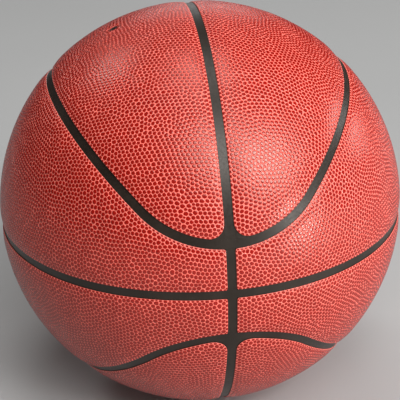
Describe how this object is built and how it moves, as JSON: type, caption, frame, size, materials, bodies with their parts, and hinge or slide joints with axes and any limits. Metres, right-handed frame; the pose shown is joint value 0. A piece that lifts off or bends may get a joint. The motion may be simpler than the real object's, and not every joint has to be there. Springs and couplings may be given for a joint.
{
  "type": "basketball",
  "caption": "Inflatable game ball with a pebbled panel cover, black rubber channel strips, wound carcass, bladder and a valve plug that pulls out.",
  "frame": {"origin": "centre of the ball", "axes": "+Z square to the equator seam, with the valve in the upper half; +X square to the meridian seam; -Y faces the viewer"},
  "size_m": [0.2414, 0.2412, 0.2414],
  "materials": {
    "cover": "pebbled composite leather, deep red with lighter valleys, soft sheen",
    "seam_rubber": "smooth black rubber, satin",
    "carcass_rubber": "moulded rubber, matt",
    "winding_thread": "wound nylon thread in latex",
    "bladder_butyl": "butyl rubber, matt",
    "valve_rubber": "soft black rubber, satin"
  },
  "bodies": {
    "ball": {"crown_panel_upper_left": "cover", "crown_panel_upper_right": "cover", "crown_panel_lower_left": "cover", "crown_panel_lower_right": "cover", "side_panel_upper_left": "cover", "side_panel_upper_right": "cover", "side_panel_lower_left": "cover", "side_panel_lower_right": "cover", "equator_strip": "seam_rubber", "upper_loop_strip": "seam_rubber", "lower_loop_strip": "seam_rubber", "meridian_strip_top": "seam_rubber", "meridian_strip_bottom": "seam_rubber", "meridian_strip_front_upper": "seam_rubber", "meridian_strip_front_lower": "seam_rubber", "meridian_strip_back_upper": "seam_rubber", "meridian_strip_back_lower": "seam_rubber", "carcass": "carcass_rubber", "thread_winding": "winding_thread", "bladder": "bladder_butyl", "valve_seat": "bladder_butyl"},
    "plug": {"valve_plug": "valve_rubber"}
  },
  "joints": [
    {"name": "plug_pull", "type": "slide", "parent": "ball", "child": "plug", "axis": [-0.3827, 0, 0.9239], "range_m": [0, 0.025]}
  ]
}
